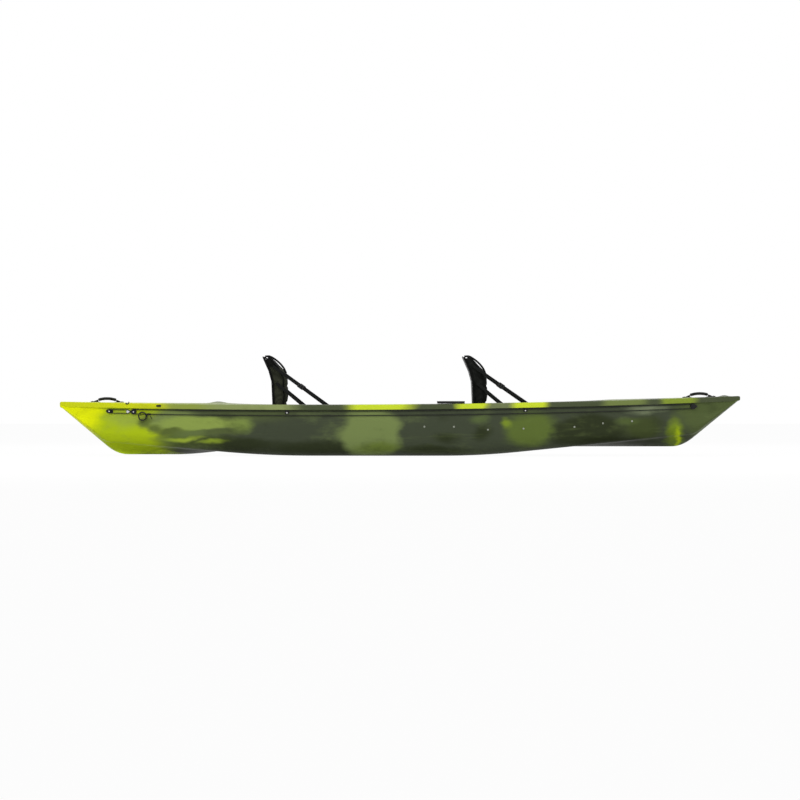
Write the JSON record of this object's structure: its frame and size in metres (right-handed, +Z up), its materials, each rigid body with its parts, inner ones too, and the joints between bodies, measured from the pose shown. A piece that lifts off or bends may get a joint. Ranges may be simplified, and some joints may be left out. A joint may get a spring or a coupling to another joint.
{
  "type": "tandem kayak",
  "caption": "Open-cockpit tandem kayak hull with strapped folding seats, foot braces, carry handles and a side anchor trolley.",
  "frame": {"origin": "on the flat of the bottom, midway between the tips, on the centre line", "axes": "+X to the bow, +Y to port, +Z up"},
  "size_m": [4.57, 0.81, 0.6706],
  "materials": {
    "hull_plastic": "rotomoulded polyethylene, satin, swirled lime to dark olive",
    "black_plastic": "moulded nylon, satin",
    "pedal_plastic": "moulded nylon, satin",
    "handle_rubber": "matt",
    "handle_grip": "ribbed, matt",
    "stainless": "polished stainless steel",
    "line": "braided cord",
    "seat_fabric": "padded woven fabric",
    "webbing": "flat woven webbing",
    "foam": "closed-cell foam"
  },
  "bodies": {
    "hull": {"hull": "hull_plastic", "bow_flotation_block": "foam", "stern_flotation_block": "foam", "bow_handle_strap": "handle_rubber", "bow_handle_grip": "handle_grip", "stern_handle_strap": "handle_rubber", "stern_handle_grip": "handle_grip", "handle_screws": "stainless", "starboard_accessory_rail": "black_plastic", "port_accessory_rail": "black_plastic", "accessory_rail_screws": "stainless", "rim_hook": "black_plastic", "rim_pad": "black_plastic", "trolley_button": "black_plastic", "trolley_shock_cord": "line", "trolley_shackle": "stainless", "trolley_stern_block": "black_plastic", "trolley_stern_pin": "stainless", "trolley_bow_block": "black_plastic", "trolley_bow_pin": "stainless", "trolley_upper_line": "line", "trolley_lower_line": "line", "trolley_line_turns": "line", "trolley_line_guides": "black_plastic", "trolley_screws": "stainless", "rear_starboard_foot_rail": "black_plastic", "rear_port_foot_rail": "black_plastic", "front_starboard_foot_rail": "black_plastic", "front_port_foot_rail": "black_plastic", "side_rivets": "stainless", "rear_seat_base": "black_plastic", "rear_seat_cushion": "seat_fabric", "rear_hinge_pin": "stainless", "rear_upper_straps": "webbing", "rear_lower_straps": "webbing", "rear_strap_buckles": "black_plastic", "rear_strap_anchors": "black_plastic", "front_seat_base": "black_plastic", "front_seat_cushion": "seat_fabric", "front_hinge_pin": "stainless", "front_upper_straps": "webbing", "front_lower_straps": "webbing", "front_strap_buckles": "black_plastic", "front_strap_anchors": "black_plastic"},
    "trolley_ring": {"trolley_ring": "black_plastic", "trolley_knot": "line"},
    "stern_sheave": {"trolley_stern_sheave": "black_plastic"},
    "bow_sheave": {"trolley_bow_sheave": "black_plastic"},
    "rear_starboard_pedal": {"rear_starboard_pedal": "pedal_plastic"},
    "rear_port_pedal": {"rear_port_pedal": "pedal_plastic"},
    "front_starboard_pedal": {"front_starboard_pedal": "pedal_plastic"},
    "front_port_pedal": {"front_port_pedal": "pedal_plastic"},
    "rear_backrest": {"rear_backrest_shell": "black_plastic", "rear_backrest_pad": "seat_fabric", "rear_backrest_top_strap": "webbing"},
    "front_backrest": {"front_backrest_shell": "black_plastic", "front_backrest_pad": "seat_fabric", "front_backrest_top_strap": "webbing"}
  },
  "joints": [
    {"name": "trolley_travel", "type": "hinge", "parent": "hull", "child": "trolley_ring", "pos_m": [-0.00578, 6.59513, 1.00601], "axis": [-0.0083, -0.0995, 0.995], "range_deg": [0, 29]},
    {"name": "stern_sheave_spin", "type": "hinge", "parent": "hull", "child": "stern_sheave", "pos_m": [-1.77946, -0.17156, 0.29299], "axis": [-0.2523, -0.9626, -0.0984], "continuous": true},
    {"name": "bow_sheave_spin", "type": "hinge", "parent": "hull", "child": "bow_sheave", "pos_m": [1.963, -0.12113, 0.32915], "axis": [0.28, -0.9555, -0.0932], "continuous": true},
    {"name": "rear_starboard_pedal_slide", "type": "slide", "parent": "hull", "child": "rear_starboard_pedal", "axis": [0.9993, 0.037, 0], "range_m": [-0.11, 0.11]},
    {"name": "rear_port_pedal_slide", "type": "slide", "parent": "hull", "child": "rear_port_pedal", "axis": [0.9993, -0.037, 0], "range_m": [-0.11, 0.11]},
    {"name": "front_starboard_pedal_slide", "type": "slide", "parent": "hull", "child": "front_starboard_pedal", "axis": [0.978, 0.1966, 0.0699], "range_m": [-0.11, 0.11]},
    {"name": "front_port_pedal_slide", "type": "slide", "parent": "hull", "child": "front_port_pedal", "axis": [0.978, -0.1966, 0.0699], "range_m": [-0.11, 0.11]},
    {"name": "rear_backrest_fold", "type": "hinge", "parent": "hull", "child": "rear_backrest", "pos_m": [-0.826, 0, 0.205], "axis": [0, 1, 0], "range_deg": [-12, 72], "deforming": ["rear_upper_straps", "rear_lower_straps", "rear_strap_buckles"]},
    {"name": "front_backrest_fold", "type": "hinge", "parent": "hull", "child": "front_backrest", "pos_m": [0.512, 0, 0.205], "axis": [0, 1, 0], "range_deg": [-12, 72], "deforming": ["front_upper_straps", "front_lower_straps", "front_strap_buckles"]}
  ],
  "couplings": [
    {"joint": "stern_sheave_spin", "follows": "trolley_travel", "ratio": 468.77},
    {"joint": "bow_sheave_spin", "follows": "trolley_travel", "ratio": 468.77}
  ]
}
